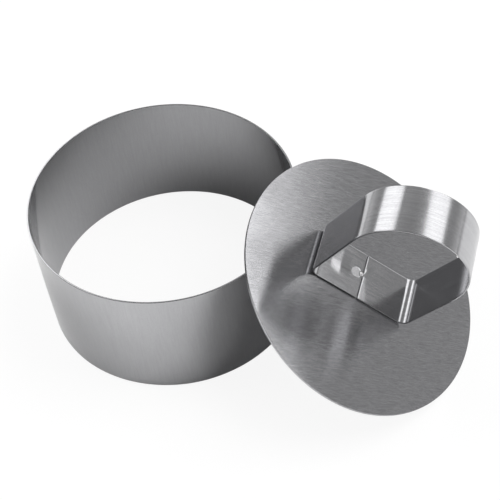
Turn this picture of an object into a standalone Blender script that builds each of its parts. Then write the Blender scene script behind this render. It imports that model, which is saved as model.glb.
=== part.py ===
"""Food ring mould: an open ring of rolled sheet steel and the plate-and-handle pusher that leans on its rim.

Metres, +Z up. The ring stands on the table, z = 0. The pusher's plate leans towards +X: its lower edge stands
on the table and its back rests on the ring's rim. The origin is under the middle of the pair.
"""

import math

import bmesh
import bpy
from mathutils import Vector

# Ring: a strip of sheet rolled round, its two ends butting at the seam weld
RING_DIAMETER = 0.0800
RING_HEIGHT = 0.0400
RING_SHEET = 0.0005
SEAM_AZIMUTH = math.radians(-10.0)
SEAM_BEAD_WIDTH = 0.0006
SEAM_BEAD_CROWN = 0.0001

# Plate: a round blank that slides down the ring's bore
PLATE_SHEET = 0.0008
PLATE_CLEARANCE = 0.0002

# Handle: one strip bent into a D, measured over its outside; the shifts are from the foot's middle
HANDLE_SHEET = 0.0005
HANDLE_WIDTH = 0.0152
HANDLE_FOOT_LENGTH = 0.0336
HANDLE_HEIGHT = 0.0409
HANDLE_ARCH_RADIUS = 0.0174
HANDLE_ARCH_SHIFT = -0.00025
HANDLE_BEND_RADIUS = 0.0026
FOOT_SEAM_GAP = 0.0004
FOOT_SEAM_SHIFT = -0.0003

# Where the foot was welded on the plate, off its centre: along the lean, across it, and turned
HANDLE_ALONG = -0.0010
HANDLE_ACROSS = 0.0010
HANDLE_TURN = math.radians(8.8)

# Welds that hold the foot: a tack over its seam and the nugget of a spot weld beside the seam
TACK_DIAMETER = 0.0015
TACK_CROWN = 0.0004
TACK_FROM_SEAM = -0.00055
TACK_ALONG_SEAM = 0.0004
SPOT_DIAMETER = 0.0016
SPOT_FROM_SEAM = -0.00245
SPOT_ALONG_SEAM = 0.0002
SPOT_SINK = 0.00005

# How the pusher leans: how much of the plate reaches past the rim, and how far it stands to one side
LEAN_OVERHANG = 0.0123
LEAN_ACROSS = 0.0012

# Clearances and edges
SEAT_GAP = 0.0003
WELD_CLEARANCE = 0.0001
DEBURR = 0.0001

# Facets of the round forms
ROUND_STEPS = 144
ARCH_STEPS = 60
BEND_STEPS = 8
WELD_STEPS = 24
EDGE_STEPS = 2
SHARP_ANGLE = math.radians(35.0)

# Sizes that follow
RING_RADIUS = RING_DIAMETER / 2
PLATE_RADIUS = RING_RADIUS - RING_SHEET - PLATE_CLEARANCE
LEAN_ANGLE = math.asin(RING_HEIGHT / (2 * PLATE_RADIUS - LEAN_OVERHANG))
FOOT_TOP = SEAT_GAP + HANDLE_SHEET
ARCH_CENTRE_HEIGHT = HANDLE_HEIGHT - HANDLE_ARCH_RADIUS
TACK_X = FOOT_SEAM_SHIFT + TACK_FROM_SEAM
SPOT_X = FOOT_SEAM_SHIFT + SPOT_FROM_SEAM


def clear_scene():
    for old in list(bpy.data.objects):
        bpy.data.objects.remove(old, do_unlink=True)


def steel(name, colour, roughness):
    material = bpy.data.materials.new(name)
    material.use_nodes = True
    shader = material.node_tree.nodes["Principled BSDF"]
    shader.inputs["Base Color"].default_value = (*colour, 1.0)
    shader.inputs["Metallic"].default_value = 1.0
    shader.inputs["Roughness"].default_value = roughness
    return material


def new_empty(name, parent=None):
    empty = bpy.data.objects.new(name, None)
    bpy.context.scene.collection.objects.link(empty)
    empty.parent = parent
    return empty


def new_object(name, bm, material, parent):
    """An object made from a bmesh, shaded smooth across its round faces."""
    mesh = bpy.data.meshes.new(name)
    bmesh.ops.recalc_face_normals(bm, faces=bm.faces)
    bm.to_mesh(mesh)
    bm.free()
    mesh.materials.append(material)
    mesh.shade_smooth()
    mesh.set_sharp_from_angle(angle=SHARP_ANGLE)
    made = bpy.data.objects.new(name, mesh)
    bpy.context.scene.collection.objects.link(made)
    made.parent = parent
    return made


def give_thickness(sheet, thickness, offset):
    """Turns a surface into sheet metal. Offset 0 grows it both ways, -1 against its normals."""
    solidify = sheet.modifiers.new("thickness", "SOLIDIFY")
    solidify.thickness = thickness
    solidify.offset = offset
    solidify.use_even_offset = True


def break_edges(piece):
    """Takes the burr off every sharp edge."""
    bevel = piece.modifiers.new("deburr", "BEVEL")
    bevel.width = DEBURR
    bevel.segments = EDGE_STEPS
    bevel.limit_method = "ANGLE"
    bevel.angle_limit = SHARP_ANGLE


def cut_hole(piece, radius, place):
    """Cuts a round hole through a sheet, square to its foot."""
    bm = bmesh.new()
    bmesh.ops.create_cone(
        bm, cap_ends=True, segments=WELD_STEPS, radius1=radius, radius2=radius, depth=4 * FOOT_TOP
    )
    cutter = new_object(piece.name + "_cutter", bm, piece.active_material, piece.parent)
    cutter.location = place
    cutter.hide_render = True
    cutter.display_type = "WIRE"
    boolean = piece.modifiers.new("hole", "BOOLEAN")
    boolean.operation = "DIFFERENCE"
    boolean.solver = "EXACT"
    boolean.object = cutter


def make_ring_band(material, parent):
    """A sheet spun round the axis, open by the weld's width at the seam."""
    half_opening = (SEAM_BEAD_WIDTH / 2 + WELD_CLEARANCE) / RING_RADIUS
    start = SEAM_AZIMUTH + half_opening
    bm = bmesh.new()
    foot = bm.verts.new((RING_RADIUS * math.cos(start), RING_RADIUS * math.sin(start), 0.0))
    rim = bm.verts.new((foot.co.x, foot.co.y, RING_HEIGHT))
    edge = bm.edges.new((foot, rim))
    bmesh.ops.spin(
        bm,
        geom=[foot, rim, edge],
        cent=(0.0, 0.0, 0.0),
        axis=(0.0, 0.0, 1.0),
        angle=2 * math.pi - 2 * half_opening,
        steps=ROUND_STEPS,
        use_merge=False,
    )
    band = new_object("ring_band", bm, material, parent)
    face_out(band)
    give_thickness(band, RING_SHEET, -1.0)
    break_edges(band)
    return band


def face_out(band):
    """Points an open band's faces away from its axis."""
    first = band.data.polygons[0]
    if first.normal.dot(Vector((first.center.x, first.center.y, 0.0))) < 0:
        band.data.flip_normals()


def make_seam_weld(material, parent):
    """The bead that fills the band's seam, a little proud of both faces."""
    thickness = RING_SHEET + 2 * SEAM_BEAD_CROWN
    bm = bmesh.new()
    bmesh.ops.create_cube(bm, size=1.0)
    bmesh.ops.scale(bm, vec=(thickness, SEAM_BEAD_WIDTH, RING_HEIGHT - 2 * DEBURR), verts=bm.verts)
    bead = new_object("ring_seam_weld", bm, material, parent)
    middle = RING_RADIUS - RING_SHEET / 2
    bead.location = (middle * math.cos(SEAM_AZIMUTH), middle * math.sin(SEAM_AZIMUTH), RING_HEIGHT / 2)
    bead.rotation_euler.z = SEAM_AZIMUTH
    break_edges(bead)
    return bead


def make_plate(material, parent):
    """The round blank, its handle face at z = 0 of the pusher."""
    bm = bmesh.new()
    bmesh.ops.create_circle(bm, cap_ends=True, segments=ROUND_STEPS, radius=PLATE_RADIUS)
    plate = new_object("press_disc", bm, material, parent)
    if plate.data.polygons[0].normal.z < 0:
        plate.data.flip_normals()
    give_thickness(plate, PLATE_SHEET, -1.0)
    break_edges(plate)
    return plate


def arc(centre, radius, start, end, steps):
    """Points along an arc in the XZ plane, both ends included."""
    turns = [start + (end - start) * i / steps for i in range(steps + 1)]
    return [Vector((centre.x + radius * math.cos(a), 0.0, centre.z + radius * math.sin(a))) for a in turns]


def foot_and_bend(side):
    """Half of the strip's foot with its bend, on side 1 or -1, and the angle at which its wall meets the arch."""
    half_sheet = HANDLE_SHEET / 2
    corner = Vector((HANDLE_FOOT_LENGTH / 2 - half_sheet, 0.0, SEAT_GAP + half_sheet))

    # The wall runs from the corner straight to where it touches the arch
    to_corner = corner - Vector((side * HANDLE_ARCH_SHIFT, 0.0, ARCH_CENTRE_HEIGHT))
    arch_radius = HANDLE_ARCH_RADIUS - half_sheet
    touch = math.atan2(to_corner.z, to_corner.x) + math.acos(arch_radius / to_corner.length)
    wall_angle = touch + math.pi / 2

    # The bend is an arc that touches the foot and the wall
    bend_radius = HANDLE_BEND_RADIUS - half_sheet
    bend_centre = corner + Vector((-bend_radius * math.tan(wall_angle / 2), 0.0, bend_radius))
    bend = arc(bend_centre, bend_radius, -math.pi / 2, wall_angle - math.pi / 2, BEND_STEPS)

    seam = Vector((FOOT_SEAM_SHIFT + side * FOOT_SEAM_GAP / 2, 0.0, corner.z))
    return [seam] + [Vector((side * p.x, 0.0, p.z)) for p in bend], touch


def handle_path():
    """The middle line of the strip, from the foot's seam round the D and back to the seam."""
    right, right_touch = foot_and_bend(1)
    left, left_touch = foot_and_bend(-1)
    arch_centre = Vector((HANDLE_ARCH_SHIFT, 0.0, ARCH_CENTRE_HEIGHT))
    arch_radius = HANDLE_ARCH_RADIUS - HANDLE_SHEET / 2
    arch = arc(arch_centre, arch_radius, right_touch, math.pi - left_touch, ARCH_STEPS)
    return right + arch + left[::-1]


def make_handle(material, parent):
    """The strip: its middle line extruded to the strip's width, then thickened."""
    bm = bmesh.new()
    points = [bm.verts.new(p + Vector((0.0, -HANDLE_WIDTH / 2, 0.0))) for p in handle_path()]
    edges = [bm.edges.new(pair) for pair in zip(points, points[1:])]
    swept = bmesh.ops.extrude_edge_only(bm, edges=edges)
    far_side = [v for v in swept["geom"] if isinstance(v, bmesh.types.BMVert)]
    bmesh.ops.translate(bm, vec=(0.0, HANDLE_WIDTH, 0.0), verts=far_side)
    strip = new_object("handle_strip", bm, material, parent)
    give_thickness(strip, HANDLE_SHEET, 0.0)
    break_edges(strip)
    cut_hole(strip, TACK_DIAMETER / 2 + WELD_CLEARANCE, (TACK_X, TACK_ALONG_SEAM, FOOT_TOP))
    cut_hole(strip, SPOT_DIAMETER / 2 + WELD_CLEARANCE, (SPOT_X, SPOT_ALONG_SEAM, FOOT_TOP))
    return strip


def make_weld_button(name, radius, top, crown, place, material, parent):
    """A round weld that stands on the plate: straight sides up to `top`, then a domed or dished face."""
    bm = bmesh.new()
    profile = [(0.0, WELD_CLEARANCE), (radius, WELD_CLEARANCE), (radius, top)]
    rings = WELD_STEPS // 4
    for i in range(1, rings + 1):
        share = i / rings
        profile.append((radius * math.cos(share * math.pi / 2), top + crown * math.sin(share * math.pi / 2)))
    points = [bm.verts.new((x, 0.0, z)) for x, z in profile]
    edges = [bm.edges.new(pair) for pair in zip(points, points[1:])]
    bmesh.ops.spin(
        bm,
        geom=points + edges,
        cent=(0.0, 0.0, 0.0),
        axis=(0.0, 0.0, 1.0),
        angle=2 * math.pi,
        steps=WELD_STEPS,
        use_merge=True,
    )
    bmesh.ops.remove_doubles(bm, verts=bm.verts, dist=WELD_CLEARANCE / 100)
    button = new_object(name, bm, material, parent)
    button.location = place
    return button


def reach(pieces, direction):
    """How far the pieces reach along a direction, measured on their finished meshes."""
    bpy.context.view_layer.update()
    seen = bpy.context.evaluated_depsgraph_get()
    furthest = -math.inf
    for piece in pieces:
        evaluated = piece.evaluated_get(seen)
        for vertex in evaluated.data.vertices:
            furthest = max(furthest, (evaluated.matrix_world @ vertex.co).dot(direction))
    return furthest


def lean_on_rim(pusher, pusher_pieces, plate, ring_pieces):
    """Tilts the pusher, stands its lower edge on the table and slides it up to the ring's rim."""
    pusher.rotation_euler.y = LEAN_ANGLE
    pusher.location.y = LEAN_ACROSS
    pusher.location.z = reach(pusher_pieces, Vector((0.0, 0.0, -1.0)))
    plate_normal = Vector((math.sin(LEAN_ANGLE), 0.0, math.cos(LEAN_ANGLE)))
    rim = reach(ring_pieces, plate_normal)
    plate_back = -reach([plate], -plate_normal)
    pusher.location.x = (rim + SEAT_GAP - plate_back) / plate_normal.x


def centre_over_origin(pair, pieces):
    """Moves the pair so that the origin is under the middle of its bounding box."""
    for index, axis in ((0, Vector((1.0, 0.0, 0.0))), (1, Vector((0.0, 1.0, 0.0)))):
        pair.location[index] = (reach(pieces, -axis) - reach(pieces, axis)) / 2
    bpy.context.view_layer.update()


def main():
    clear_scene()
    sheet_steel = steel("brushed_sheet", (0.42, 0.42, 0.43), 0.30)
    plate_steel = steel("brushed_plate", (0.46, 0.46, 0.47), 0.27)
    strip_steel = steel("polished_strip", (0.48, 0.48, 0.49), 0.22)
    weld_steel = steel("weld_metal", (0.36, 0.36, 0.37), 0.42)

    pair = new_empty("mould_and_pusher")
    ring = new_empty("ring", pair)
    pusher = new_empty("pusher", pair)
    handle = new_empty("handle", pusher)
    handle.location = (HANDLE_ALONG, HANDLE_ACROSS, 0.0)
    handle.rotation_euler.z = HANDLE_TURN

    ring_pieces = [make_ring_band(sheet_steel, ring), make_seam_weld(weld_steel, ring)]
    plate = make_plate(plate_steel, pusher)
    strip = make_handle(strip_steel, handle)
    tack = make_weld_button(
        "handle_seam_tack",
        TACK_DIAMETER / 2,
        FOOT_TOP,
        TACK_CROWN,
        (TACK_X, TACK_ALONG_SEAM, 0.0),
        weld_steel,
        handle,
    )
    spot = make_weld_button(
        "handle_spot_weld",
        SPOT_DIAMETER / 2,
        FOOT_TOP,
        -SPOT_SINK,
        (SPOT_X, SPOT_ALONG_SEAM, 0.0),
        weld_steel,
        handle,
    )
    pusher_pieces = [plate, strip, tack, spot]
    lean_on_rim(pusher, pusher_pieces, plate, ring_pieces)
    centre_over_origin(pair, ring_pieces + pusher_pieces)


main()
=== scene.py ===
"""Food ring mould and its loose pusher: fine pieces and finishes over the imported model, in a pale studio.

Metres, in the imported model's frame: +Z up, the ring stands on z = 0, and the pusher leans on its +X side.
"""

import math

import bmesh
import bpy
from mathutils import Matrix, Quaternion, Vector, noise


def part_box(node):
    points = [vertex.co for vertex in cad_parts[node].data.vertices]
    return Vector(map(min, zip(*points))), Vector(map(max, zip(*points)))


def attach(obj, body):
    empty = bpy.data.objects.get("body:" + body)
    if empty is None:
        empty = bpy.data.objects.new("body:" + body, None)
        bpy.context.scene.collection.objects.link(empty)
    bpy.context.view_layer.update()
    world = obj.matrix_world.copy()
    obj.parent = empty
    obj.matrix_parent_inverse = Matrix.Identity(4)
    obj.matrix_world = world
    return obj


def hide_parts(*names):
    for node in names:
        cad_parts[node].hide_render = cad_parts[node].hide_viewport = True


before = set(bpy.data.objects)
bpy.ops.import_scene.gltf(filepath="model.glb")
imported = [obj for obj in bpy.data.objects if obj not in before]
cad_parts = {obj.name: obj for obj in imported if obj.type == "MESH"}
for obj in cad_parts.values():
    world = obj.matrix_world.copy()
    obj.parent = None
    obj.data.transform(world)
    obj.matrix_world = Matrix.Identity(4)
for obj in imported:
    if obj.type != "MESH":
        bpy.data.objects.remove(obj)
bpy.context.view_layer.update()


# The ring: a strip of stainless sheet rolled round until its ends meet at the seam. Its satin face keeps
# faint upright streaks from the rolls, its two cut edges are deburred, and the sheet isn't perfectly round.
RING_SHEET = 0.0005
RING_STEPS = 360
RING_ROWS = 16
SEAM_AZIMUTH = math.radians(-10.0)
SEAM_WIDTH = 0.0006
OUT_OF_ROUND = 0.0001
RING_WAVES_PER_METRE = 38.0
DEBURR = 0.0001
DEBURR_STEPS = 3
DEBURR_ANGLE = math.radians(35.0)
CREASE_ANGLE = math.radians(40.0)
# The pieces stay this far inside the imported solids
FIT = 0.00002
# Edges shorter than this are slivers that a cut left
SLIVER = 0.0000001

ring_low, ring_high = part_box("ring_band")
ring_radius = (ring_high.y - ring_low.y) / 2
ring_height = ring_high.z - ring_low.z
ring_axis = Vector((ring_low.x + ring_radius, (ring_low.y + ring_high.y) / 2, 0.0))


def linear(hex_colour):
    """An sRGB colour, written "#rrggbb", as linear red, green, blue and alpha."""
    parts = [int(hex_colour[i : i + 2], 16) / 255 for i in (1, 3, 5)]
    return (*[p / 12.92 if p <= 0.04045 else ((p + 0.055) / 1.055) ** 2.4 for p in parts], 1.0)


def add_node(tree, kind, settings=None, inputs=None):
    """Adds a node with its settings. Each input is a plain value, or the output that feeds it."""
    made = tree.nodes.new(kind)
    for name, value in (settings or {}).items():
        setattr(made, name, value)
    for name, value in (inputs or {}).items():
        if isinstance(value, bpy.types.NodeSocket):
            tree.links.new(value, made.inputs[name])
        else:
            made.inputs[name].default_value = value
    return made


def new_piece(name, bm, material, bevel=DEBURR, sheet=0.0, holes=()):
    """An object from a bmesh: sheet thickens it both ways from its surface, and holes are cut out of it."""
    mesh = bpy.data.meshes.new(name)
    bm.to_mesh(mesh)
    bm.free()
    piece = bpy.data.objects.new(name, mesh)
    bpy.context.scene.collection.objects.link(piece)
    mesh.materials.append(material)
    if sheet:
        thickness = piece.modifiers.new("sheet", "SOLIDIFY")
        thickness.thickness = sheet
        thickness.offset = 0.0
        thickness.use_even_offset = True
    if bevel:
        rounding = piece.modifiers.new("deburr", "BEVEL")
        rounding.width = bevel
        rounding.segments = DEBURR_STEPS
        rounding.limit_method = "ANGLE"
        rounding.angle_limit = DEBURR_ANGLE
    for cutter in holes:
        hole = piece.modifiers.new("hole", "BOOLEAN")
        hole.operation = "DIFFERENCE"
        hole.solver = "EXACT"
        hole.object = cutter
    return piece


def finished_mesh(piece):
    """The piece's mesh with its modifiers applied."""
    bpy.context.view_layer.update()
    seen = bpy.context.evaluated_depsgraph_get()
    return bpy.data.meshes.new_from_object(piece.evaluated_get(seen))


def settle(piece, place):
    """Applies the modifiers and moves the mesh to its place, shaded smooth with flat faces kept flat."""
    mesh = finished_mesh(piece)
    mesh.transform(place)
    mesh.shade_smooth()
    mesh.set_sharp_from_angle(angle=CREASE_ANGLE)
    piece.modifiers.clear()
    cleaned = bmesh.new()
    cleaned.from_mesh(mesh)
    bmesh.ops.dissolve_degenerate(cleaned, dist=SLIVER, edges=cleaned.edges)
    cleaned.to_mesh(mesh)
    cleaned.free()
    piece.data = mesh
    flat = piece.modifiers.new("flat_faces", "WEIGHTED_NORMAL")
    flat.keep_sharp = True
    piece.data = finished_mesh(piece)
    piece.modifiers.clear()
    return piece


MM_PER_METRE = 1000.0
# A long line is this many times as large as a fine one. One share is that of long lines among the lines,
# the other that of grain in the whole pattern.
LONG_LINE_SIZE = 2.2
LONG_LINE_SHARE = 0.3
GRAIN_SHARE = 0.35
# How much finer detail each noise has, and how strong it is in the lines and in the clouds
NOISE_DETAIL = 2.0
LINE_DETAIL_STRENGTH = 0.6
CLOUD_DETAIL_STRENGTH = 0.5
# Noise between these values goes from one colour to the other, or over the whole change in roughness
TINT_LOW = 0.35
TINT_HIGH = 0.65
NOISE_LOW = 0.3
NOISE_HIGH = 0.7
# How far the lines and the clouds take the roughness up and down
LINE_ROUGHNESS = 0.015
CLOUD_ROUGHNESS = 0.03


def brushed_stainless(
    name,
    colours,
    roughness,
    place,
    line_mm,
    across,
    turn=0.0,
    sheen=0.4,
    grain_mm=0.4,
    cloud_mm=14.0,
    depth=0.000001,
):
    """Brushed stainless steel, drawn in the piece's own frame, which place gives.

    line_mm is the size of a brushed line along each own axis, grain_mm that of the pickled sheet's grain,
    cloud_mm that of its unevenly polished patches, and depth, in metres, how deep the pattern goes. Real
    lines and grain are about 0.05 mm wide, too fine to show in the render, so they are drawn four to nine
    times as wide. across is the own axis that lies square to the lines, and the highlight spreads along it.
    Where the lines stand upright on a round wall, it is the axis along them, with a turn of a quarter.
    """
    material = bpy.data.materials.new(name)
    material.use_nodes = True
    tree = material.node_tree
    shader = tree.nodes["Principled BSDF"]
    shader.inputs["Metallic"].default_value = 1.0
    shader.inputs["Anisotropic"].default_value = sheen
    shader.inputs["Anisotropic Rotation"].default_value = turn

    # The piece's own frame
    back = place.inverted()
    where = add_node(tree, "ShaderNodeTexCoord").outputs["Object"]
    own = add_node(
        tree,
        "ShaderNodeMapping",
        inputs={"Vector": where, "Location": back.translation, "Rotation": back.to_euler()},
    ).outputs["Vector"]

    # Brushed lines, fine ones and longer wider ones, with the grain of the pickled sheet between them. A
    # Mix node has sockets of one name for each kind of data, so they are given by number.
    fine_scale = [MM_PER_METRE / mm for mm in line_mm]
    long_scale = [f / LONG_LINE_SIZE for f in fine_scale]
    grain_scale = [MM_PER_METRE / grain_mm] * 3
    fine, long, grain = [
        add_node(
            tree,
            "ShaderNodeTexNoise",
            inputs={
                "Vector": add_node(
                    tree, "ShaderNodeMapping", inputs={"Vector": own, "Scale": scale}
                ).outputs["Vector"],
                "Scale": 1.0,
                "Detail": NOISE_DETAIL,
                "Roughness": LINE_DETAIL_STRENGTH,
            },
        ).outputs["Fac"]
        for scale in (fine_scale, long_scale, grain_scale)
    ]
    drawn = add_node(
        tree, "ShaderNodeMix", {"data_type": "FLOAT"}, {"Factor": LONG_LINE_SHARE, 2: fine, 3: long}
    ).outputs[0]
    lines = add_node(
        tree, "ShaderNodeMix", {"data_type": "FLOAT"}, {"Factor": GRAIN_SHARE, 2: drawn, 3: grain}
    ).outputs[0]
    clouds = add_node(
        tree,
        "ShaderNodeTexNoise",
        inputs={
            "Vector": own,
            "Scale": MM_PER_METRE / cloud_mm,
            "Detail": NOISE_DETAIL,
            "Roughness": CLOUD_DETAIL_STRENGTH,
        },
    ).outputs["Fac"]

    tint_share = add_node(
        tree,
        "ShaderNodeMapRange",
        inputs={"Value": lines, "From Min": TINT_LOW, "From Max": TINT_HIGH},
    ).outputs["Result"]
    tint = add_node(
        tree,
        "ShaderNodeMix",
        {"data_type": "RGBA"},
        {"Factor": tint_share, 6: linear(colours[0]), 7: linear(colours[1])},
    ).outputs[2]
    tree.links.new(tint, shader.inputs["Base Color"])
    rough_lines, rough_clouds = [
        add_node(
            tree,
            "ShaderNodeMapRange",
            inputs={
                "Value": pattern,
                "From Min": NOISE_LOW,
                "From Max": NOISE_HIGH,
                "To Min": middle - reach,
                "To Max": middle + reach,
            },
        ).outputs["Result"]
        for pattern, middle, reach in ((lines, 0.0, LINE_ROUGHNESS), (clouds, roughness, CLOUD_ROUGHNESS))
    ]
    rough = add_node(tree, "ShaderNodeMath", {"operation": "ADD"}, {0: rough_lines, 1: rough_clouds})
    tree.links.new(rough.outputs["Value"], shader.inputs["Roughness"])
    bump = add_node(
        tree, "ShaderNodeBump", inputs={"Height": lines, "Strength": 1.0, "Distance": depth}
    )
    tree.links.new(bump.outputs["Normal"], shader.inputs["Normal"])

    # The lie of the lines, which goes along when the piece is turned
    axis = (place.to_3x3() @ Vector(across)).normalized()
    lie = add_node(
        tree,
        "ShaderNodeVectorTransform",
        {"vector_type": "VECTOR", "convert_from": "OBJECT", "convert_to": "WORLD"},
        {"Vector": axis},
    ).outputs["Vector"]
    tree.links.new(lie, shader.inputs["Tangent"])
    return material


ring_place = Matrix.Translation(ring_axis)
# Satin rolled stainless gives the eye a grey mirror that is only a little blurred: the table and the room
# lie on it in broad soft shades, and the streaks hardly show
ring_steel = brushed_stainless(
    "brushed_stainless_ring",
    ("#a7a7a9", "#b0b0b2"),
    0.12,
    ring_place,
    line_mm=(0.45, 0.45, 6.0),
    across=(0.0, 0.0, 1.0),
    turn=0.25,
    sheen=0.3,
    depth=0.0000004,
)

bm = bmesh.new()
half_seam = SEAM_WIDTH / 2 / ring_radius
middle_radius = ring_radius - RING_SHEET / 2 - OUT_OF_ROUND
first = Matrix.Rotation(SEAM_AZIMUTH + half_seam, 4, "Z") @ Vector((middle_radius, 0.0, 0.0))
rise = (ring_height - 2 * FIT) / RING_ROWS
rows = [bm.verts.new((first.x, first.y, FIT + rise * i)) for i in range(RING_ROWS + 1)]
upright = [bm.edges.new(pair) for pair in zip(rows, rows[1:])]
bmesh.ops.spin(
    bm,
    geom=rows + upright,
    cent=(0.0, 0.0, 0.0),
    axis=(0.0, 0.0, 1.0),
    angle=2 * math.pi - 2 * half_seam,
    steps=RING_STEPS,
    use_merge=False,
)
# The waves die out towards the seam, where the two ends have to meet
for vert in bm.verts:
    outward = Vector((vert.co.x, vert.co.y, 0.0)).normalized()
    from_seam = (vert.co - first * Vector((1.0, 1.0, 0.0))).to_2d().length / ring_radius
    wave = noise.noise(vert.co * RING_WAVES_PER_METRE)
    vert.co += outward * OUT_OF_ROUND * min(1.0, from_seam) * wave
ring = settle(new_piece("ring_band_rolled", bm, ring_steel, sheet=RING_SHEET), ring_place)
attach(ring, "ring")
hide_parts("ring_band")


# The ring's seam: the two cut ends are butted and run together with a narrow bead, ground nearly flush. It
# is duller than the sheet, with the small ripples that the torch leaves.
BEAD_CROWN = 0.0001
BEAD_ROUNDING_STEPS = 4
BEAD_RIPPLE = 0.00003
BEAD_RIPPLE_PITCH = 0.0011
BEAD_ROWS = 220

# Bare weld gives the eye a duller, slightly cloudy grey, which sets it off from the bright sheet
weld_steel = brushed_stainless(
    "bare_weld_stainless",
    ("#a0a0a3", "#bcbbba"),
    0.26,
    ring_place,
    line_mm=(0.4, 0.4, 0.4),
    across=(0.0, 0.0, 1.0),
    sheen=0.0,
    cloud_mm=2.0,
)


def upright_edges(bm):
    """The edges that run up the whole bead."""
    return [e for e in bm.edges if abs(e.verts[0].co.z - e.verts[1].co.z) > ring_height / 2]


# The bead stops short of the ring's two deburred edges
bm = bmesh.new()
bmesh.ops.create_cube(bm, size=1.0)
bead_size = (RING_SHEET + 2 * (BEAD_CROWN - BEAD_RIPPLE), SEAM_WIDTH, ring_height - 4 * DEBURR)
bmesh.ops.scale(bm, vec=bead_size, verts=bm.verts)
bmesh.ops.bevel(
    bm,
    geom=upright_edges(bm),
    offset=BEAD_CROWN,
    segments=BEAD_ROUNDING_STEPS,
    profile=0.5,
    affect="EDGES",
    material=-1,
)
bmesh.ops.subdivide_edges(bm, edges=upright_edges(bm), cuts=BEAD_ROWS, use_grid_fill=True)
for vert in bm.verts:
    ripple = BEAD_RIPPLE * math.sin(2 * math.pi * vert.co.z / BEAD_RIPPLE_PITCH)
    vert.co.x += math.copysign(ripple, vert.co.x)
bead_place = (
    Matrix.Translation(ring_axis + Vector((0.0, 0.0, ring_height / 2)))
    @ Matrix.Rotation(SEAM_AZIMUTH, 4, "Z")
    @ Matrix.Translation((middle_radius, 0.0, 0.0))
)
bead = settle(new_piece("ring_seam_bead", bm, weld_steel, bevel=0.0), bead_place)
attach(bead, "ring")
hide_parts("ring_seam_weld")


# The pusher's plate: a round blank of thicker stainless sheet, punched flat, that slides down the ring's
# bore. Its faces are brushed in straight lines, and its edge is tumbled smooth.
PLATE_SHEET = 0.0008
PLATE_CLEARANCE = 0.0002
PLATE_FIT = 1.5 * FIT
PLATE_WAVE = 0.00002
PLATE_WAVES_PER_METRE = 45.0
PLATE_WAVE_FADE = 4
PLATE_STEPS = 360
PLATE_RINGS = 24
PLATE_GRAIN = math.radians(27.0)
# The ring is as high as its radius. The plate leans on its rim and reaches over it by the overhang
RING_NOMINAL = 0.040
LEAN_OVERHANG = 0.0123
# Points closer than this are one point
MERGE = 0.000001

plate_low, plate_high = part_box("press_disc")
plate_radius = (plate_high.y - plate_low.y) / 2 - PLATE_FIT
plate_below_rim = 2 * (RING_NOMINAL - RING_SHEET - PLATE_CLEARANCE) - LEAN_OVERHANG
lean_angle = math.asin(RING_NOMINAL / plate_below_rim)
tilt = Matrix.Rotation(lean_angle, 4, "Y")
plate_place = Matrix.Translation((plate_low + plate_high) / 2) @ tilt

# Straight brushing gives the eye a soft sheen with fine pale lines, and draws out what the plate mirrors
# square to them, such as the handle's dark side and the streaks under its foot
plate_steel = brushed_stainless(
    "brushed_stainless_plate",
    ("#99999c", "#bebec0"),
    0.2,
    plate_place @ Matrix.Rotation(PLATE_GRAIN, 4, "Z"),
    line_mm=(2.6, 0.2, 2.6),
    across=(0.0, 1.0, 0.0),
    sheen=1.0,
    grain_mm=0.26,
    depth=0.0000003,
)


def turned(profile, steps):
    """A bmesh made by turning a profile, given as x and z, all the way round, with normals recalculated."""
    bm = bmesh.new()
    points = [bm.verts.new((x, 0.0, z)) for x, z in profile]
    edges = [bm.edges.new(pair) for pair in zip(points, points[1:])]
    bmesh.ops.spin(
        bm,
        geom=points + edges,
        cent=(0.0, 0.0, 0.0),
        axis=(0.0, 0.0, 1.0),
        angle=2 * math.pi,
        steps=steps,
        use_merge=True,
    )
    bmesh.ops.remove_doubles(bm, verts=bm.verts, dist=MERGE)
    bmesh.ops.recalc_face_normals(bm, faces=bm.faces)
    return bm


spoke = [(plate_radius * i / PLATE_RINGS, 0.0) for i in range(PLATE_RINGS + 1)]
bm = turned(spoke, PLATE_STEPS)
# The waves fade out close to the edge, so that it stays in one plane
for vert in bm.verts:
    fade = 1.0 - (vert.co.length / plate_radius) ** PLATE_WAVE_FADE
    vert.co.z += PLATE_WAVE * fade * noise.noise(vert.co * PLATE_WAVES_PER_METRE)
plate = settle(new_piece("press_plate", bm, plate_steel, sheet=PLATE_SHEET), plate_place)
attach(plate, "press")
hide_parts("press_disc")


# The pusher's handle: one strip of stainless bent into a D. Its two ends meet in a seam in the middle of
# the foot, which is welded flat on the plate. It is brushed along its length, and its bends are tight.
HANDLE_SHEET = 0.0005
HANDLE_WIDTH = 0.0152
HANDLE_FOOT_LENGTH = 0.0336
HANDLE_HEIGHT = 0.0409
HANDLE_ARCH_RADIUS = 0.0174
HANDLE_ARCH_SHIFT = -0.00025
HANDLE_BEND_RADIUS = 0.0026
HANDLE_ALONG = -0.0010
HANDLE_ACROSS = 0.0010
HANDLE_TURN = math.radians(8.8)
FOOT_SEAM_GAP = 0.0004
FOOT_SEAM_SHIFT = -0.0003
# The real foot lies on the plate. This keeps the two pieces clear, as the dark line under the foot
FOOT_LIFT = 0.00015
ARCH_STEPS = 240
BEND_STEPS = 24
FOOT_STEPS = 38
STRIP_ROWS = 36
ROLLED_EDGE = 0.0005
STRIP_ROUNDING = 0.0002

handle_place = (
    plate_place
    @ Matrix.Translation((HANDLE_ALONG, HANDLE_ACROSS, PLATE_SHEET / 2))
    @ Matrix.Rotation(HANDLE_TURN, 4, "Z")
)


def arc(centre, radius, start, end, steps):
    """Points along an arc in the XZ plane, both ends included."""
    turns = [start + (end - start) * i / steps for i in range(steps + 1)]
    return [centre + radius * Vector((math.cos(a), 0.0, math.sin(a))) for a in turns]


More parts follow.
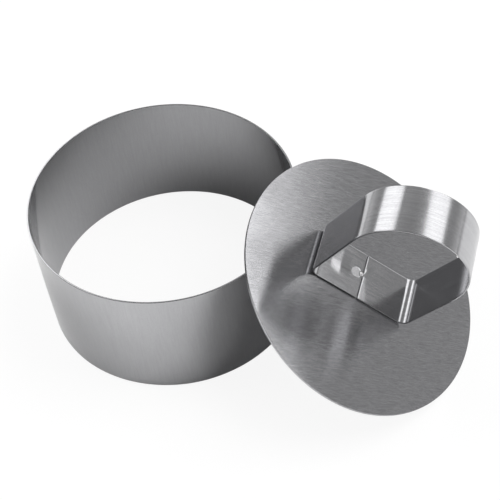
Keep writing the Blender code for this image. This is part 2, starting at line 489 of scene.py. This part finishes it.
half_sheet = HANDLE_SHEET / 2
foot_level = FOOT_LIFT + half_sheet
arch_centre = Vector((HANDLE_ARCH_SHIFT, 0.0, HANDLE_HEIGHT - HANDLE_ARCH_RADIUS))
arch_radius = HANDLE_ARCH_RADIUS - half_sheet - FIT
bend_radius = HANDLE_BEND_RADIUS - half_sheet


def foot_and_bend(side):
    """Half of the foot with its bend, on side 1 or -1, and the angle at which its wall meets the arch."""
    corner = Vector((HANDLE_FOOT_LENGTH / 2 - half_sheet, 0.0, foot_level))
    to_corner = corner - Vector((side * arch_centre.x, 0.0, arch_centre.z))
    touch = math.atan2(to_corner.z, to_corner.x) + math.acos(arch_radius / to_corner.length)
    wall_angle = touch + math.pi / 2
    bend_centre = corner + Vector((-bend_radius * math.tan(wall_angle / 2), 0.0, bend_radius))
    bend = arc(bend_centre, bend_radius, -math.pi / 2, wall_angle - math.pi / 2, BEND_STEPS)
    seam = Vector((FOOT_SEAM_SHIFT + side * FOOT_SEAM_GAP / 2, 0.0, foot_level))
    bend = [Vector((side * p.x, 0.0, p.z)) for p in bend]
    rolled = seam.lerp(bend[0], ROLLED_EDGE / 2 / (bend[0] - seam).length)
    return [seam] + [rolled.lerp(bend[0], i / FOOT_STEPS) for i in range(FOOT_STEPS)] + bend, touch


right, right_touch = foot_and_bend(1)
left, left_touch = foot_and_bend(-1)
path = right + arc(arch_centre, arch_radius, right_touch, math.pi - left_touch, ARCH_STEPS) + left[::-1]

# Fine brushing along the strip gives the eye crisp bands of light across the arch and the bends, with thin
# lines running through them, and quiet even greys on the flat walls and the foot
strip_steel = brushed_stainless(
    "brushed_stainless_strip",
    ("#9d9d9f", "#b5b5b7"),
    0.17,
    handle_place,
    line_mm=(10.0, 0.26, 10.0),
    across=(0.0, 1.0, 0.0),
    sheen=0.5,
    depth=0.0000004,
)
rows = [ROLLED_EDGE / 2 + (HANDLE_WIDTH - ROLLED_EDGE) * i / STRIP_ROWS for i in range(STRIP_ROWS + 1)]
rows = [0.0] + rows + [HANDLE_WIDTH]
bm = bmesh.new()
points = [bm.verts.new(p + Vector((0.0, -HANDLE_WIDTH / 2, 0.0))) for p in path]
edges = [bm.edges.new(pair) for pair in zip(points, points[1:])]
for before, after in zip(rows, rows[1:]):
    swept = bmesh.ops.extrude_edge_only(bm, edges=edges)["geom"]
    edges = [e for e in swept if isinstance(e, bmesh.types.BMEdge)]
    moved = [v for v in swept if isinstance(v, bmesh.types.BMVert)]
    bmesh.ops.translate(bm, vec=(0.0, after - before, 0.0), verts=moved)
bmesh.ops.recalc_face_normals(bm, faces=bm.faces)

# Welding heat and the shear left the thin foot uneven. Its forms are placed by x, from the seam, and y,
# along it. First the fold beside the spot weld: it starts along a line that slants off at its far end,
# rises softly to a crest, and dies out behind the crest and towards the strip's near side.
FOLD_SLOPE = 0.046
FOLD_SOFTNESS = 0.0006
FOLD_START = -0.0113
FOLD_SLANT = 0.68
FOLD_SLANT_START = -0.0118
FOLD_SLANT_Y = -0.0004
FOLD_CREST = -0.0077
FOLD_FALL = 0.003
FOLD_FADE_Y = -0.0040
FOLD_FADE_LENGTH = 0.0036
# The other end is pressed down by the seam, in a triangle that widens away from the tack
PRESSED_SLOPE = 0.03
PRESSED_WIDTH = 0.0012
PRESSED_WIDENING = 0.24
PRESSED_Y = -0.0003
# The shear rolled the cut edges over, on the seam's right-hand side and along the strip's far side
SEAM_ROLL_SHARE = 0.7
SEAM_ROLL_SLOPE = 0.45
SIDE_ROLL_SLOPE = 0.9
# An oblong splash of weld lies beside the tack
SPLASH_AT = (0.0011, 0.0026)
SPLASH_CROWN = 0.00008
SPLASH_ALONG = Vector((0.66, 0.75))
SPLASH_ACROSS = Vector((0.75, -0.66))
SPLASH_LENGTH = 0.0011
SPLASH_WIDTH = 0.0005


def ramp(run, soft):
    """A rise of 1 in 1 that starts softly: run is how far past its start a point lies."""
    if run <= 0.0:
        return 0.0
    return run * run / (2 * soft) if run < soft else run - soft / 2


def foot_rise(x, y):
    """How far the foot's sheet stands above its level at a place."""
    start = max(FOLD_START, FOLD_SLANT_START + FOLD_SLANT * (y - FOLD_SLANT_Y))
    if x < FOLD_CREST:
        fold = FOLD_SLOPE * ramp(x - start, FOLD_SOFTNESS)
    else:
        fold = FOLD_SLOPE * ramp(FOLD_CREST - start, FOLD_SOFTNESS)
        fold *= max(0.0, 1 - (x - FOLD_CREST) / FOLD_FALL)
    share = min(1.0, max(0.0, (y - FOLD_FADE_Y) / FOLD_FADE_LENGTH))
    fold *= share * share * (3 - 2 * share)
    rolled = ramp(ROLLED_EDGE - (HANDLE_WIDTH / 2 - y), ROLLED_EDGE) * SIDE_ROLL_SLOPE
    if x <= 0.0:
        return fold - rolled
    rolled += ramp(SEAM_ROLL_SHARE * ROLLED_EDGE - x, ROLLED_EDGE) * SEAM_ROLL_SLOPE
    pressed = 0.0
    if y < PRESSED_Y:
        pressed = PRESSED_SLOPE * max(0.0, PRESSED_WIDTH + PRESSED_WIDENING * (PRESSED_Y - y) - x)
    offset = Vector((x - SPLASH_AT[0], y - SPLASH_AT[1]))
    splash = SPLASH_CROWN * math.exp(-((offset.dot(SPLASH_ALONG) / SPLASH_LENGTH) ** 2))
    splash *= math.exp(-((offset.dot(SPLASH_ACROSS) / SPLASH_WIDTH) ** 2))
    return fold - pressed - rolled + splash


for vert in bm.verts:
    if abs(vert.co.z - foot_level) < MERGE:
        vert.co.z += foot_rise(vert.co.x - FOOT_SEAM_SHIFT, vert.co.y)

# The tack's notch and the electrode's mark go through the foot
TACK_RADIUS = 0.0009
TACK_STRETCH = 1.2
TACK_AT = (FOOT_SEAM_SHIFT - 0.00055, 0.0004)
SPOT_RADIUS = 0.0018
SPOT_AT = (FOOT_SEAM_SHIFT - 0.00245, 0.0002)
CUTTER_STEPS = 64
CUTTER_DEPTH = 0.004
cutters = []
for radius, stretch, (x, y) in ((TACK_RADIUS, TACK_STRETCH, TACK_AT), (SPOT_RADIUS, 1.0, SPOT_AT)):
    hole = bmesh.new()
    bmesh.ops.create_cone(
        hole, cap_ends=True, segments=CUTTER_STEPS, radius1=radius, radius2=radius, depth=CUTTER_DEPTH
    )
    bmesh.ops.scale(hole, vec=(1.0, stretch, 1.0), verts=hole.verts)
    bmesh.ops.translate(hole, vec=(x, y, 0.0), verts=hole.verts)
    cutters.append(new_piece("cutter", hole, strip_steel, bevel=0.0))
strip = settle(
    new_piece("handle_strip_bent", bm, strip_steel, STRIP_ROUNDING, HANDLE_SHEET, cutters), handle_place
)
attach(strip, "press")
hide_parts("handle_strip")


# The tack: a small irregular blob of weld that closes the seam's notch, a little higher on one side. It
# ties both ends of the strip to the plate, and is the same bare weld metal as the ring's seam.
TACK_HALF_WIDTH = 0.00072
TACK_HALF_LENGTH = 0.0009
TACK_CROWN = 0.0002
# The blob's height and depth are taken down by this, which leaves room for its lumps
TACK_FILL = 0.85
TACK_SLOPE = 0.1
TACK_LUMPS = 0.16
TACK_LUMPS_SCALE = 2.1
TACK_GRAINS = 0.05
TACK_GRAINS_SCALE = 6.0
TACK_SUBDIVISIONS = 5
# The welds end this far above the plate
WELD_GAP = 0.0001

foot_top = FOOT_LIFT + HANDLE_SHEET
bm = bmesh.new()
bmesh.ops.create_icosphere(bm, subdivisions=TACK_SUBDIVISIONS, radius=1.0)
for vert in bm.verts:
    lumps = TACK_LUMPS * noise.noise(vert.co * TACK_LUMPS_SCALE)
    uneven = 1.0 + lumps + TACK_GRAINS * noise.noise(vert.co * TACK_GRAINS_SCALE)
    vert.co.x *= TACK_HALF_WIDTH * uneven
    vert.co.y *= TACK_HALF_LENGTH * uneven
    vert.co.z *= (TACK_CROWN if vert.co.z > 0 else foot_top - WELD_GAP) * uneven * TACK_FILL
    vert.co.z += TACK_SLOPE * vert.co.x
tack = settle(
    new_piece("handle_seam_tack_blob", bm, weld_steel, bevel=0.0),
    handle_place @ Matrix.Translation((*TACK_AT, foot_top)),
)
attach(tack, "press")
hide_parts("handle_seam_tack")


# The spot weld: the round mark that an electrode presses into the foot. It is a flat facet of the strip's
# own steel, a little lower than the foot around it and slightly tilted, with a soft rim.
SPOT_SINK = 0.00003
SPOT_SLOPE = 0.04
# The rim's share of the radius
SPOT_RIM = 0.12
SPOT_RINGS = 40
SPOT_STEPS = 96

profile = [(0.0, WELD_GAP), (SPOT_RADIUS, WELD_GAP)]
for i in range(SPOT_RINGS + 1):
    r = 1.0 - i / SPOT_RINGS
    profile.append((SPOT_RADIUS * r, foot_top - SPOT_SINK * min(1.0, (1.0 - r) / SPOT_RIM)))
bm = turned(profile, SPOT_STEPS)
for vert in bm.verts:
    if vert.co.z > foot_top / 2:
        vert.co.z += SPOT_SLOPE * vert.co.x
bmesh.ops.translate(bm, vec=(*SPOT_AT, 0.0), verts=bm.verts)
# The tack's notch bites into the mark as well
spot = settle(
    new_piece("handle_spot_weld_mark", bm, strip_steel, bevel=0.0, holes=cutters[:1]), handle_place
)
for cutter in cutters:
    bpy.data.objects.remove(cutter)
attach(spot, "press")
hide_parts("handle_spot_weld")


# The floor: a wide white table. To the camera it is nine tenths plain white, in the steel a fiftieth, and
# the rest is matt and takes the object's shadow.
FLOOR_RADIUS = 8.0
FLOOR_STEPS = 64
FLOOR_MATT = "#efefef"
WHITE_TO_CAMERA = 0.9
WHITE_IN_STEEL = 0.02

# Matt white paint gives the eye nothing but the object's soft shadow
floor_paint = bpy.data.materials.new("matt_white_table")
floor_paint.use_nodes = True
tree = floor_paint.node_tree
tree.nodes.clear()
rays = add_node(tree, "ShaderNodeLightPath").outputs
in_steel, in_glass, to_camera = [
    add_node(tree, "ShaderNodeMath", {"operation": "MULTIPLY"}, {0: rays[ray], 1: part}).outputs["Value"]
    for ray, part in (
        ("Is Glossy Ray", WHITE_IN_STEEL),
        ("Is Transmission Ray", WHITE_TO_CAMERA),
        ("Is Camera Ray", WHITE_TO_CAMERA),
    )
]
seen = add_node(tree, "ShaderNodeMath", {"operation": "ADD"}, {0: to_camera, 1: in_glass}).outputs["Value"]
share = add_node(tree, "ShaderNodeMath", {"operation": "ADD"}, {0: seen, 1: in_steel}).outputs["Value"]
matt = add_node(tree, "ShaderNodeBsdfDiffuse", inputs={"Color": linear(FLOOR_MATT)}).outputs[0]
white = add_node(tree, "ShaderNodeEmission", inputs={"Strength": 1.0}).outputs[0]
both = add_node(tree, "ShaderNodeMixShader", inputs={0: share, 1: matt, 2: white}).outputs[0]
add_node(tree, "ShaderNodeOutputMaterial", inputs={"Surface": both})
bm = bmesh.new()
bmesh.ops.create_circle(bm, cap_ends=True, segments=FLOOR_STEPS, radius=FLOOR_RADIUS)
floor = new_piece("floor", bm, floor_paint, bevel=0.0)


# The light: a pale room, brightest at the horizon and dimmer behind the camera, towards -Y. Two softboxes
# behind the object lay bright bands on the handle's arch, and two lamps that the steel doesn't mirror light
# the table.
LAMP_DISTANCE = 1.2
# Each lamp's name, azimuth, elevation, width and height in degrees, radiance, and if the steel mirrors it
LAMPS = (
    ("softbox_behind", 57.0, 42.4, 50.0, 23.8, 1.8, True),
    ("softbox_left", 146.0, 39.0, 22.0, 28.0, 1.9, True),
    ("lamp_side", 190.0, 24.0, 34.0, 26.0, 10.6, False),
    ("lamp_over", 34.0, 60.0, 36.0, 32.0, 5.9, False),
)
# How bright the room is, from the horizon (0) to straight overhead (1): a pale horizon, a darker wall above
# it, a pale ceiling, and a dark middle of the ceiling, which gives the steel its deepest greys
ROOM_LEVELS = ((0.0, 1.0), (0.08, 0.8), (0.3, 0.34), (0.7, 0.55), (0.84, 0.6), (0.9, 0.26))
# The room keeps this share of its light in directions whose Y is at the dimmest value or below, and all of
# it from the full value up
ROOM_BEHIND_CAMERA = 0.45
ROOM_DIMMEST_Y = -0.5
ROOM_FULL_Y = 0.1

world = bpy.data.worlds.new("pale_room")
bpy.context.scene.world = world
world.use_nodes = True
tree = world.node_tree
direction = add_node(tree, "ShaderNodeTexCoord").outputs["Generated"]
parts = add_node(tree, "ShaderNodeSeparateXYZ", inputs={"Vector": direction}).outputs
levels = add_node(tree, "ShaderNodeValToRGB", inputs={"Fac": parts["Z"]})
levels.color_ramp.interpolation = "B_SPLINE"
# A new ramp already has two stops
for i, (height, level) in enumerate(ROOM_LEVELS):
    stop = levels.color_ramp.elements[i] if i < 2 else levels.color_ramp.elements.new(height)
    stop.position = height
    stop.color = (level, level, level, 1.0)
tree.links.new(levels.outputs["Color"], tree.nodes["Background"].inputs["Color"])
dimming = add_node(
    tree,
    "ShaderNodeMapRange",
    {"interpolation_type": "SMOOTHSTEP"},
    {
        "Value": parts["Y"],
        "From Min": ROOM_DIMMEST_Y,
        "From Max": ROOM_FULL_Y,
        "To Min": ROOM_BEHIND_CAMERA,
    },
).outputs["Result"]
tree.links.new(dimming, tree.nodes["Background"].inputs["Strength"])

for name, azimuth, elevation, wide, tall, radiance, mirrored in LAMPS:
    lamp = bpy.data.lights.new(name, "AREA")
    lamp.shape = "RECTANGLE"
    lamp.size = 2 * LAMP_DISTANCE * math.tan(math.radians(wide / 2))
    lamp.size_y = 2 * LAMP_DISTANCE * math.tan(math.radians(tall / 2))
    lamp.energy = radiance * math.pi * lamp.size * lamp.size_y
    a = math.radians(azimuth)
    e = math.radians(elevation)
    towards = Vector((math.cos(a) * math.cos(e), math.sin(a) * math.cos(e), math.sin(e)))
    holder = bpy.data.objects.new(name, lamp)
    bpy.context.scene.collection.objects.link(holder)
    holder.location = towards * LAMP_DISTANCE
    holder.rotation_euler = towards.to_track_quat("Z", "Y").to_euler()
    holder.visible_camera = False
    holder.visible_glossy = mirrored


# The camera: at the photograph's angle, 50 degrees up and 34 degrees to the right of the ring's front, with
# a long lens and a small roll.
CAMERA_FROM_RING = Vector((0.12992, -0.19388, 0.28181))
AIM_FROM_RING = Vector((0.01688, 0.01983, 0.0))
CAMERA_ROLL = math.radians(6.365)
CAMERA_LENS = 81.85
CAMERA_SENSOR = 36.0
CAMERA_NEAREST = 0.01
CAMERA_FARTHEST = 30.0

lens = bpy.data.cameras.new("camera")
lens.lens = CAMERA_LENS
lens.sensor_width = CAMERA_SENSOR
lens.clip_start = CAMERA_NEAREST
lens.clip_end = CAMERA_FARTHEST
camera = bpy.data.objects.new("camera", lens)
bpy.context.scene.collection.objects.link(camera)
camera.location = ring_axis + CAMERA_FROM_RING
gaze = (AIM_FROM_RING - CAMERA_FROM_RING).to_track_quat("-Z", "Y")
camera.rotation_euler = (gaze @ Quaternion((0.0, 0.0, 1.0), -CAMERA_ROLL)).to_euler()
bpy.context.scene.camera = camera
bpy.context.scene.view_settings.view_transform = "Standard"
